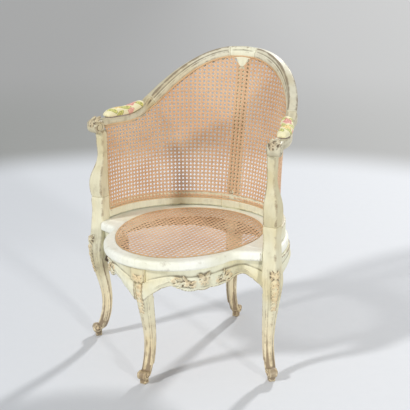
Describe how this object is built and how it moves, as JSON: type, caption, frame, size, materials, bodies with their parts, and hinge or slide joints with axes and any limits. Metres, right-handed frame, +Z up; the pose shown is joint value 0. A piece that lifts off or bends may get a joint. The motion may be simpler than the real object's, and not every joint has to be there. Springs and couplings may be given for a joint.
{
  "type": "desk armchair",
  "caption": "Painted desk armchair with a caned horseshoe back, caned bow-fronted seat, scrolled arms with flowered pads and cabriole legs set as a diamond",
  "frame": {"origin": "on the floor under the middle of the chair's bounding box", "axes": "+X to the right side of the chair seen from the front, +Y from the front leg to the back leg, +Z up"},
  "size_m": [0.6998, 0.689, 0.9511],
  "materials": {
    "painted_wood": "old cream paint with a pale green cast, worn through to brown on edges and carving",
    "cane": "split rattan cane, woven, satin",
    "flowered_fabric": null,
    "bare_wood": "unpainted beech"
  },
  "bodies": {
    "root": {"back_cane": "cane", "back_dowels": "bare_wood", "back_left_rail": "painted_wood", "back_leg": "painted_wood", "back_right_rail": "painted_wood", "back_stile": "painted_wood", "front_left_rail": "painted_wood", "front_leg": "painted_wood", "front_right_rail": "painted_wood", "left_arm": "painted_wood", "left_arm_pad": "flowered_fabric", "left_arm_post": "painted_wood", "left_leg": "painted_wood", "left_lower_rail": "painted_wood", "left_top_rail": "painted_wood", "leg_pegs": "bare_wood", "right_arm": "painted_wood", "right_arm_pad": "flowered_fabric", "right_arm_post": "painted_wood", "right_leg": "painted_wood", "right_lower_rail": "painted_wood", "right_top_rail": "painted_wood", "seat_cane": "cane", "seat_dowels": "bare_wood", "seat_frame_back_left": "painted_wood", "seat_frame_back_right": "painted_wood", "seat_frame_front_left": "painted_wood", "seat_frame_front_right": "painted_wood", "seat_tongues": "bare_wood"}
  },
  "joints": []
}
